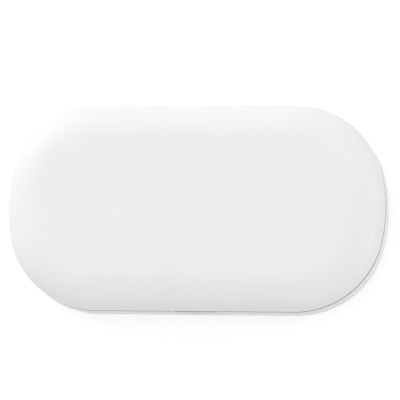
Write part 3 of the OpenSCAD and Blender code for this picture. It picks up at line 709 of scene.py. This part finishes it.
def solids(node: str) -> list[Box]:
    """Find the separate solids of a CAD node.

    Args:
        node: the CAD node.

    Returns:
        Their boxes, ordered by their middles.
    """
    mesh = bmesh.new()
    mesh.from_mesh(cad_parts[node].data)
    bmesh.ops.remove_doubles(mesh, verts=mesh.verts, dist=MERGE)
    left, boxes = set(mesh.verts), []
    while left:
        queue, found = [left.pop()], []
        while queue:
            point = queue.pop()
            found.append(point.co)
            near = {edge.other_vert(point) for edge in point.link_edges} & left
            left -= near
            queue.extend(near)
        corners = [Vector([side(p[i] for p in found) for i in range(3)]) for side in (min, max)]
        boxes.append(Box(*corners))
    mesh.free()
    return sorted(boxes, key=lambda box: tuple(round(c, 4) for c in box.middle))


def modified(piece: Piece, kind: str, **settings: Any) -> Piece:
    """Apply a modifier to a piece.

    Args:
        piece: the piece.
        kind: the modifier's type.
        settings: the modifier's own properties.

    Returns:
        The same piece.
    """
    take(piece)
    tool = piece.modifiers.new(kind.lower(), kind)
    for key, value in settings.items():
        setattr(tool, key, value)
    bpy.ops.object.modifier_apply(modifier=tool.name)
    return piece


def cut(piece: Piece, cutter: Piece) -> None:
    """Take one piece's volume out of another, and delete the cutter."""
    modified(piece, "BOOLEAN", operation="DIFFERENCE", object=cutter, solver="EXACT")
    bpy.data.objects.remove(cutter)


def bevelled(piece: Piece, width_mm: float, steps: int = 2) -> Piece:
    """Round a piece's sharp edges."""
    return modified(piece, "BEVEL", width=width_mm * MM, segments=steps, limit_method="ANGLE")


def row(piece: Piece, count: int, step: Sequence[float]) -> Piece:
    """Repeat a piece along a line."""
    offset = {"use_relative_offset": False, "use_constant_offset": True, "constant_offset_displace": step}
    return modified(piece, "ARRAY", count=count, **offset)


def copy_of(piece: Piece, name: str, place: Matrix) -> Piece:
    """Copy a piece with its own mesh, and put the place into the mesh.

    Args:
        piece: what is copied.
        name: what the copy is called.
        place: where it goes.

    Returns:
        The copy.
    """
    take(piece)
    bpy.ops.object.duplicate(linked=False)
    made = rename(bpy.context.object, name)
    made.data.transform(place)
    return made


def joined(name: str, pieces: list[Piece]) -> Piece:
    """Join pieces to one.

    Args:
        name: what the joined piece is called.
        pieces: the pieces.

    Returns:
        The joined piece.
    """
    take(*pieces)
    bpy.ops.object.join()
    return rename(bpy.context.object, name)


def finished(piece: Piece, body: Body, slot: Slot, finish: Finish, *nodes: str) -> None:
    """Dress a piece, put it on its body and hide the CAD nodes that it stands for.

    Args:
        piece: the finished piece.
        body: what it rides on.
        slot: not used.
        finish: its finish.
        nodes: the CAD nodes that it replaces.
    """
    take(piece)
    bpy.ops.object.shade_smooth_by_angle(angle=SMOOTH)
    if len(piece.data.materials) == 0:
        piece.data.materials.append(None)
    piece.data.materials[0] = finish.material()
    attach(piece, body.value)
    if nodes:
        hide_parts(*nodes)
    LOG.info("%s rides on %s, %d faces, %s", piece.name, body.value, len(piece.data.polygons), finish.name)


def dress(finish: Finish, *nodes: str) -> None:
    """Give CAD nodes a finish.

    Args:
        finish: the finish.
        nodes: the nodes that keep their CAD shape.
    """
    for name in nodes:
        for material_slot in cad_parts[name].material_slots:
            material_slot.material = finish.material()
        LOG.info("%s keeps its CAD shape, %s", name, finish.name)


@dataclass
class Casework:
    """Both shells and the frames round the chamber's mouth."""

    def build(self) -> None:
        """Dress the shells and the frames, whose CAD shapes are right."""
        dress(SATIN_WHITE, "lid_shell")
        # the base shell carries painted shade in its rebate under the seam and in the scoop's hollow
        dress(WHITE_WITH_PAINTED_SHADE, "base_shell")
        dress(LINER_GREY, "lid_frame", "base_bezel")


@dataclass
class Chamber:
    """The mirrored wells with their lamps and windows, the phone rests and the light seal."""

    rest_round_mm: float = 1.2
    rest_steps: int = 5
    seal_round_mm: float = 0.6
    ledge_mm: float = 0.7
    eyelet_r_mm: float = 4.4
    eyelet_section_mm: float = 0.42
    eyelet_flat: float = 0.6
    lamp_wall_mm: float = 0.45
    lamp_cup_mm: float = 0.35
    die_in_mm: float = 0.6
    die_h_mm: float = 0.15
    lamp_edge_mm: float = 0.12

    def build(self) -> None:
        """Build everything in the chamber."""
        dress(MIRROR, "base_tray", "lid_reflector")
        dress(QUARTZ, "base_windows", "lid_windows")
        self.rests()
        self.seal()
        for body, up in ((Body.BASE, 1), (Body.LID, -1)):
            self.eyelets(body, up)
            self.lamps(body, up)

    def rests(self) -> None:
        """Round the ends of the clear bars, but not their edges on the tray."""
        low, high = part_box("phone_rests")
        piece = merged_copy("phone_rests", "phone_rest_bars")
        with editing(piece):
            for way, level in ((1, high.y), (-1, -low.y)):
                rim = rim_of((0, way, 0), level)
                pick(piece, Pick.EDGES, lambda edge: rim(edge) and max(
                    v.co.z for v in edge.verts) > low.z + ON_LEVEL)
                rounded(self.rest_round_mm, self.rest_steps)
        finished(piece, Body.BASE, Slot.CLEAR_SILICONE, REST_CLEAR, "phone_rests")

    def seal(self) -> None:
        """Give the light seal a bulb top."""
        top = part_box("light_seal")[1].z
        piece = merged_copy("light_seal", "light_seal_bulb")
        with editing(piece):
            pick(piece, Pick.EDGES, rim_of((0, 0, 1), top))
            rounded(self.seal_round_mm)
        finished(piece, Body.BASE, Slot.SEAL, SEAL_GREY, "light_seal")

    def eyelets(self, body: Body, up: int) -> None:
        """Press a polished ring into the chamber's floor round each lamp window.

        Args:
            body: the base or the lid.
            up: 1 where the chamber is above the window, -1 where it is below.
        """
        rings = []
        for number, window in enumerate(solids(f"{body.value}_windows")):
            edge = (window.high if up > 0 else window.low).z + up * self.ledge_mm * MM
            free_hands()
            bpy.ops.mesh.primitive_torus_add(
                major_radius=self.eyelet_r_mm * MM, minor_radius=self.eyelet_section_mm * MM,
                major_segments=64, minor_segments=16, location=(window.middle.x, window.middle.y, edge))
            ring = settled(f"{body.value}_eyelet_{number}")
            with editing(ring):
                bpy.ops.mesh.select_all(action="SELECT")
                resized((1, 1, self.eyelet_flat), edge)
            rings.append(ring)
        finished(joined(f"{body.value}_lamp_eyelets", rings), body, Slot.STEEL, NICKEL)

    def lamps(self, body: Body, up: int) -> None:
        """Model each lamp package with its cup and its die.

        Args:
            body: the base or the lid.
            up: 1 where the lamp shines up, -1 where it shines down.
        """
        node = f"{body.value}_uvc_leds"
        lamps = []
        for number, box in enumerate(solids(node)):
            lamp = bevelled(block(f"lamp_{number}", box.middle, box.size), self.lamp_edge_mm)
            lamp.data.materials.append(LAMP_CERAMIC.material())
            lamp.data.materials.append(LAMP_DIE.material())
            with editing(lamp):
                pick(lamp, Pick.FACES, faces_at((0, 0, up), up * (box.high if up > 0 else box.low).z))
                inset(self.lamp_wall_mm)
                pushed(-up * self.lamp_cup_mm * MM)
                inset(self.die_in_mm)
                pushed(up * self.die_h_mm * MM)
                lamp.active_material_index = 1
                bpy.ops.object.material_slot_assign()
            lamps.append(lamp)
        finished(joined(f"{body.value}_lamps", lamps), body, Slot.LAMP_PACKAGE, LAMP_CERAMIC, node)


@dataclass
class Hinge:
    """The moulded arm, its two pins, the leads that meet on the axis and the magnets that hold the lid."""

    def build(self) -> None:
        """Dress the hinge's CAD nodes."""
        dress(ARM_WHITE, "hinge_leaf")
        dress(ZINC, "hinge_pin", "hinge_bush")
        dress(JACKET, "base_lead", "lid_lead", "button_lead", "base_led_lead")
        dress(NICKEL, "base_magnets", "lid_magnets", "interlock_magnet")


@dataclass
class PowerSwitch:
    """The key, the indicator's light guide and the little board behind them."""

    rim_mm: float = 0.35
    dish_in_mm: tuple[float, ...] = (0.7, 0.6)
    dish_mm: tuple[float, ...] = (0.08, 0.07)
    guide_dome_mm: float = 0.5
    housing_edge_mm: float = 0.15
    leg_mm: Place = (0.25, 0.9, 0.5)
    leg_edge_mm: float = 0.05
    leg_pitch_mm: float = 4.5

    def build(self) -> None:
        """Build the key, the light guide and the switch."""
        self.key()
        self.guide()
        self.switch()
        dress(BOARD_GREEN, "button_board")
        dress(PLUNGER_BLACK, "switch_plunger")
        dress(LAMP_CERAMIC, "status_led")

    def key(self) -> None:
        """Round the key's rim and dish its face."""
        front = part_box("power_button")[0].y
        piece = merged_copy("power_button", "power_key")
        with editing(piece):
            pick(piece, Pick.EDGES, rim_of((0, -1, 0), -front))
            rounded(self.rim_mm)
            pick(piece, Pick.FACES, faces_at((0, -1, 0), -front))
            for width, sink in zip(self.dish_in_mm, self.dish_mm):
                inset(width)
                bpy.ops.transform.translate(value=(0, sink * MM, 0))
        finished(piece, Body.BUTTON, Slot.BUTTON, KEY_WHITE, "power_button")

    def guide(self) -> None:
        """Dome the front end of the light guide."""
        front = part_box("light_pipe")[0].y
        piece = merged_copy("light_pipe", "indicator_guide")
        with editing(piece):
            pick(piece, Pick.EDGES, rim_of((0, -1, 0), -front))
            rounded(self.guide_dome_mm)
        finished(piece, Body.BASE, Slot.LIGHT_GUIDE, GUIDE, "light_pipe")

    def switch(self) -> None:
        """Soften the switch housing and add its four legs."""
        piece = bevelled(merged_copy("tact_switch", "tact_switch_housing"), self.housing_edge_mm)
        finished(piece, Body.BASE, Slot.CHIP, CHIP_EPOXY, "tact_switch")
        box = Box(*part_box("tact_switch"))
        pitch = self.leg_pitch_mm * MM
        size = [length * MM for length in self.leg_mm]
        legs = []
        for side in (-1, 1):
            x = box.middle.x + side * (box.size.x / 2 + size[0] / 2)
            middle = (x, box.high.y - size[1] / 2, box.middle.z - pitch / 2)
            leg = bevelled(block(f"switch_leg_{side}", middle, size), self.leg_edge_mm)
            legs.append(row(leg, 2, (0, 0, pitch)))
        finished(joined("tact_switch_legs", legs), Body.BASE, Slot.STEEL, TIN)


class Package(Enum):
    """The kinds of soldered part, by their height in tenths of a millimetre."""

    CONTROLLER = 10
    CAPACITOR = 12
    DRIVER = 15
    DIODE = 16
    COIL = 24
    CONNECTOR = 0


@dataclass
class Electronics:
    """The control board with its parts, the power inlet, the sensor and the strip boards."""

    part_edge_mm: float = 0.12
    leg_pitch_mm: float = 0.8
    leg_w_mm: float = 0.32
    leg_out_mm: float = 0.5
    leg_h_mm: float = 0.25
    leg_in_mm: float = 0.05
    leg_edge_mm: float = 0.06
    cap_end_mm: float = 0.55
    cap_end_proud: float = 1.02
    cap_edge_mm: float = 0.1
    drum: Outline = (
        (0.9, 0), (1, 0.1), (1, 0.2), (0.86, 0.26), (0.86, 0.74),
        (1, 0.8), (1, 0.92), (0.92, 1), (0.5, 1), (0.44, 0.9))
    drum_sides: int = 40
    mouth_wall_mm: float = 0.5
    contact_mm: Place = (0.26, 4.2, 0.05)
    contact_pitch_mm: float = 0.5
    contact_count: int = 12
    contact_edge_mm: float = 0.015
    tongue_half_mm: float = 0.35
    tongue_in_mm: float = 0.9

    def build(self) -> None:
        """Build the soldered parts and dress the boards."""
        dress(BOARD_GREEN, "main_board", "base_led_board", "lid_led_board")
        dress(STAINLESS, "usb_socket")
        dress(CHIP_EPOXY, "hall_sensor")
        metal: list[Piece] = []
        dark: list[Piece] = []
        plain: list[Piece] = []
        for number, box in enumerate(solids("board_chips")):
            kind = self.kind(box)
            if kind is Package.COIL:
                dark.append(self.coil(box))
                continue
            body = bevelled(block(f"part_{number}", box.middle, box.size), self.part_edge_mm)
            if kind in (Package.CONTROLLER, Package.DRIVER):
                dark.append(body)
                metal += self.legs(box, both=kind is Package.CONTROLLER)
            elif kind is Package.CONNECTOR:
                plain.append(body)
                self.sink_mouth(body, box)
            else:
                plain.append(body)
                metal += self.ends(box)
        finished(joined("board_packages", dark), Body.BASE, Slot.CHIP, CHIP_EPOXY, "board_chips")
        finished(joined("board_passives", plain), Body.BASE, Slot.CHIP, CAPACITOR)
        finished(joined("board_terminals", metal), Body.BASE, Slot.STEEL, TIN)
        self.contacts()

    def kind(self, box: Box) -> Package:
        """Tell a part's kind by its height."""
        tenths = round(box.size.z / MM * 10)
        return next((kind for kind in Package if kind.value == tenths), Package.CONNECTOR)

    def legs(self, box: Box, both: bool) -> list[Piece]:
        """Add gull-wing legs along a package's sides.

        Args:
            box: the package.
            both: whether all four sides have legs.

        Returns:
            The rows of legs.
        """
        rows = []
        for axis in (0, 1) if both else (0,):
            along = 1 - axis
            count = int(box.size[along] / MM / self.leg_pitch_mm) - 1
            for side in (-1, 1):
                middle = box.middle.copy()
                middle[axis] += side * (box.size[axis] / 2 + self.leg_out_mm * MM / 2 - self.leg_in_mm * MM)
                middle[along] -= (count - 1) * self.leg_pitch_mm * MM / 2
                middle.z = box.low.z + self.leg_h_mm * MM / 2
                size = Vector((0, 0, self.leg_h_mm * MM))
                size[axis], size[along] = self.leg_out_mm * MM, self.leg_w_mm * MM
                step = [0.0, 0.0, 0.0]
                step[along] = self.leg_pitch_mm * MM
                rows.append(row(bevelled(block("legs", middle, size), self.leg_edge_mm, 1), count, step))
        return rows

    def ends(self, box: Box) -> list[Piece]:
        """Add the two metal ends of a capacitor or a diode.

        Args:
            box: the part.

        Returns:
            The ends.
        """
        ends = []
        for side in (-1, 1):
            middle = box.middle + Vector((side * (box.size.x - self.cap_end_mm * MM) / 2, 0, 0))
            size = Vector((self.cap_end_mm * MM, box.size.y, box.size.z)) * self.cap_end_proud
            ends.append(bevelled(block("end", middle, size), self.cap_edge_mm, 1))
        return ends

    def coil(self, box: Box) -> Piece:
        """Turn a coil's drum with its winding's waist and put it in the CAD part's place.

        Args:
            box: the CAD part.

        Returns:
            The drum.
        """
        piece = turned("coil_drum", shaped(self.drum, box.size.x / 2, box.size.z), self.drum_sides)
        piece.data.transform(Matrix.Translation((box.middle.x, box.middle.y, box.low.z)))
        return piece

    def sink_mouth(self, piece: Piece, box: Box) -> None:
        """Sink the mouth of a connector's housing.

        Args:
            piece: the housing.
            box: its corners.
        """
        with editing(piece):
            pick(piece, Pick.FACES, faces_at((0, 0, 1), box.high.z))
            inset(self.mouth_wall_mm)
            pushed(-box.size.z / 2)

    def contacts(self) -> None:
        """Lay the gold contacts on both faces of the inlet's tongue."""
        box = Box(*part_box("usb_socket"))
        size = [length * MM for length in self.contact_mm]
        pitch = self.contact_pitch_mm * MM
        start = box.middle.x - pitch * (self.contact_count - 1) / 2
        rows = []
        for side in (-1, 1):
            middle = (start, box.high.y - self.tongue_in_mm * MM - size[1] / 2,
                      box.middle.z + side * self.tongue_half_mm * MM)
            strip = bevelled(block("contact", middle, size), self.contact_edge_mm, 1)
            rows.append(row(strip, self.contact_count, (pitch, 0, 0)))
        finished(joined("inlet_contacts", rows), Body.BASE, Slot.SOCKET_STEEL, GOLD)


class Head(Enum):
    """Outlines of a screw's head from its seat up, in shares of its radius and its height."""

    DOMED = ((0.95, -1), (1, -0.93), (1, -0.45), (0.95, -0.25), (0.8, -0.09), (0.6, 0))
    FLAT = ((0.95, -1), (1, -0.93), (1, -0.12), (0.94, 0))


@dataclass(frozen=True)
class Screw:
    """A cross-head screw, drawn head up with its face at zero."""

    head_r: float
    head_h: float
    shank_r: float
    length: float
    head: Head
    sides: int = 24
    pitch: float = 0.7 * MM
    crest_at: float = 0.4
    tip_r: float = 0.35
    taper_r: float = 0.75
    root_r: float = 0.8
    neck_r: float = 0.85
    cross_span: float = 1.25
    cross_w: float = 0.3
    cross_depth: float = 0.6
    cross_taper: float = 0.7

    def thread(self) -> list[tuple[float, float]]:
        """Give the outline of the tip and the rolled thread.

        Returns:
            Radius and height of each ring.
        """
        r = self.shank_r
        points = [(r * self.tip_r, -self.length), (r * self.taper_r, -self.length + r / 2)]
        level = -self.length + r
        while level < -self.head_h - self.pitch:
            points += [(r * self.root_r, level), (r, level + self.pitch * self.crest_at)]
            level += self.pitch
        return points + [(r * self.neck_r, -self.head_h)]

    def model(self, name: str) -> Piece:
        """Turn the screw and cut its cross.

        Args:
            name: what the piece is called.

        Returns:
            The screw.
        """
        piece = turned(name, self.thread() + shaped(self.head.value, self.head_r, self.head_h), self.sides)
        span, width = self.cross_span * self.head_r, self.cross_w * self.head_r
        depth = self.cross_depth * self.head_h
        for arm in ((span, width), (width, span)):
            cutter = block("cross", (0, 0, 0), (*arm, 2 * depth))
            with editing(cutter):
                pick(cutter, Pick.FACES, faces_at((0, 0, -1), depth))
                resized((self.cross_taper, self.cross_taper, 1))
            cut(piece, cutter)
        return piece


@dataclass(frozen=True)
class ScrewSet:
    """All screws of one CAD node: which way their heads point, their thread and their heads."""

    node: str
    body: Body
    towards: Place
    shank_mm: float
    head_mm: float
    head: Head = Head.DOMED
    turn_deg: float = 37

    def build(self) -> None:
        """Model one screw and copy it to each place, each turned on its axis."""
        way = Vector(self.towards)
        axis = max(range(3), key=lambda i: abs(way[i]))
        places = solids(self.node)
        head_r, length = places[0].size[(axis + 1) % 3] / 2, places[0].size[axis]
        screw = Screw(head_r, self.head_mm * MM, self.shank_mm * MM / 2, length, self.head)
        pattern = screw.model(f"{self.node}_pattern")
        turn = way.to_track_quat("Z", "Y").to_matrix().to_4x4()
        screws = []
        for number, box in enumerate(places):
            end = box.middle.copy()
            end[axis] = box.high[axis] if way[axis] > 0 else box.low[axis]
            spin = Matrix.Rotation(math.radians(self.turn_deg * number), 4, "Z")
            screws.append(copy_of(pattern, f"{self.node}_{number}", Matrix.Translation(end) @ turn @ spin))
        bpy.data.objects.remove(pattern)
        finished(joined(f"{self.node}_threaded", screws), self.body, Slot.STEEL, ZINC, self.node)


@dataclass
class Fasteners:
    """Every screw of the box."""

    sets: tuple[ScrewSet, ...] = (
        ScrewSet("board_screws", Body.BASE, (0, 0, 1), 2.0, 1.3),
        ScrewSet("tray_screws", Body.BASE, (0, 0, -1), 2.3, 1.5),
        ScrewSet("base_led_screws", Body.BASE, (0, 0, -1), 1.6, 1.0),
        ScrewSet("lid_led_screws", Body.LID, (0, 0, 1), 1.6, 1.0),
        ScrewSet("lid_screws", Body.LID, (0, 0, -1), 2.3, 1.1, Head.FLAT),
        ScrewSet("leaf_screws", Body.LID, (0, -1, 0), 2.0, 1.2),
    )

    def build(self) -> None:
        """Build each set."""
        for group in self.sets:
            group.build()


@dataclass
class Feet:
    """Four soft feet with a ring groove in their soles."""

    profile: Outline = (
        (0.42, 0.02), (0.4452, 0.14), (0.485, 0.14), (0.5, 0), (0.86, 0),
        (0.95, 0.05), (0.99, 0.15), (1, 0.28), (1, 0.97), (0.97, 1))
    sides: int = 48

    def build(self) -> None:
        """Turn one foot and copy it to each seat."""
        places = solids("rubber_feet")
        size = places[0].size
        pattern = turned("foot_pattern", shaped(self.profile, size.x / 2, size.z), self.sides)
        for number, box in enumerate(places):
            place = Matrix.Translation((box.middle.x, box.middle.y, box.low.z))
            foot = copy_of(pattern, f"foot_{number}", place)
            finished(foot, Body.BASE, Slot.FOOT_RUBBER, FOOT_GREY, "rubber_feet")
        bpy.data.objects.remove(pattern)


@dataclass(frozen=True)
class Softbox:
    """One large soft light that faces the box."""

    name: str
    way: Place
    power: float
    distance: float = 2.4
    size: float = 1.7
    mirrored: bool = True

    def hang(self) -> None:
        """Add the light."""
        way = Vector(self.way).normalized()
        free_hands()
        bpy.ops.object.light_add(type="AREA", location=way * self.distance)
        light = bpy.context.object
        light.name = self.name
        light.data.size = self.size
        light.data.energy = self.power
        light.visible_glossy = self.mirrored
        light.rotation_mode = "QUATERNION"
        light.rotation_quaternion = way.to_track_quat("Z", "Y")
        LOG.info("%s gives %.1f W", self.name, self.power)


@dataclass
class Studio:
    """The floor, the light and the camera of the photograph."""

    floor_size: float = 400.0
    floor_colour: Colour = (0.45, 0.45, 0.45)
    floor_roughness: float = 0.9
    floor_cloud_mm: float = 30
    floor_lift: float = 0.66
    horizon: float = 1.04
    zenith: float = 0.65
    sky_curve: float = 2.0
    lights: tuple[Softbox, ...] = (
        Softbox("softbox_key", (-0.67, 0.67, 0.3), 23.5, mirrored=False),
        Softbox("softbox_fill", (0.98, 0, 0.21), 10.5),
    )
    camera_place: Place = (0.4725, -0.481, 3.0)
    camera_aim: Place = (0.00124, 0.00582, 0.024)
    camera_roll: float = 1.743
    camera_reach: tuple[float, float] = (0.05, 1000.0)
    sensor_mm: float = 36.0
    lens_mm: float = 462.6

    def build(self) -> None:
        """Build the whole studio."""
        bpy.context.scene.view_settings.view_transform = "Standard"
        self.floor()
        self.sky()
        for light in self.lights:
            light.hang()
        self.camera()

    def floor(self) -> None:
        """Lay a wide pale floor that looks white and keeps the shadow."""
        free_hands()
        bpy.ops.mesh.primitive_plane_add(size=self.floor_size)
        plane = rename(bpy.context.object, "studio_floor")
        coat = Coat("studio_paper")
        coat.set("Base Color", opaque(self.floor_colour))
        coat.set("Roughness", coat.spread(coat.noise(self.floor_cloud_mm, 3), self.floor_roughness, 0.05))
        coat.set("Specular IOR Level", 0.0)
        coat.set("Emission Color", WHITE_LIGHT)
        coat.set("Emission Strength", coat.math("MULTIPLY", coat.seen_directly(), self.floor_lift))
        plane.data.materials.append(coat.material)
        LOG.info("%s is %.0f m wide", plane.name, self.floor_size)

    def sky(self) -> None:
        """Light the scene evenly, in front of a white background."""
        world = bpy.data.worlds.new("studio_white")
        world.use_nodes = True
        graph = Graph(world.node_tree)
        background = world.node_tree.nodes["Background"]
        background.inputs["Color"].default_value = WHITE_LIGHT
        way = graph.node("ShaderNodeTexCoord").outputs["Generated"]
        height = graph.node("ShaderNodeSeparateXYZ", {0: way}).outputs["Z"]
        rise = graph.math("POWER", graph.math("MAXIMUM", height, 0.0), self.sky_curve)
        levels = {"Value": rise, "To Min": self.horizon, "To Max": self.zenith}
        glow = graph.node("ShaderNodeMapRange", levels).outputs["Result"]
        graph.put(background.inputs["Strength"], graph.blend(graph.seen_directly(), glow, 1.0))
        bpy.context.scene.world = world

    def camera(self) -> None:
        """Set up the camera at the photograph's angle."""
        free_hands()
        bpy.ops.object.camera_add(location=self.camera_place)
        camera = bpy.context.object
        camera.name = "photo_camera"
        ahead = (Vector(self.camera_aim) - Vector(self.camera_place)).normalized()
        right = ahead.cross(Vector((0, 1, 0))).normalized()
        above = right.cross(ahead)
        roll = Matrix.Rotation(-math.radians(self.camera_roll), 3, ahead)
        turn = Matrix((roll @ right, roll @ above, -ahead)).transposed()
        camera.rotation_mode = "QUATERNION"
        camera.rotation_quaternion = turn.to_quaternion()
        camera.data.sensor_width = self.sensor_mm
        camera.data.lens = self.lens_mm
        camera.data.clip_start, camera.data.clip_end = self.camera_reach
        bpy.context.scene.camera = camera


def main() -> None:
    """Build the studio and every sub-assembly."""
    logging.basicConfig(level=logging.INFO, format="%(name)s: %(message)s")
    for part in (Studio(), Casework(), Chamber(), Hinge(), PowerSwitch(), Electronics(), Fasteners(), Feet()):
        LOG.info("building %s", type(part).__name__)
        part.build()
    free_hands()


if __name__ == "__main__":
    main()
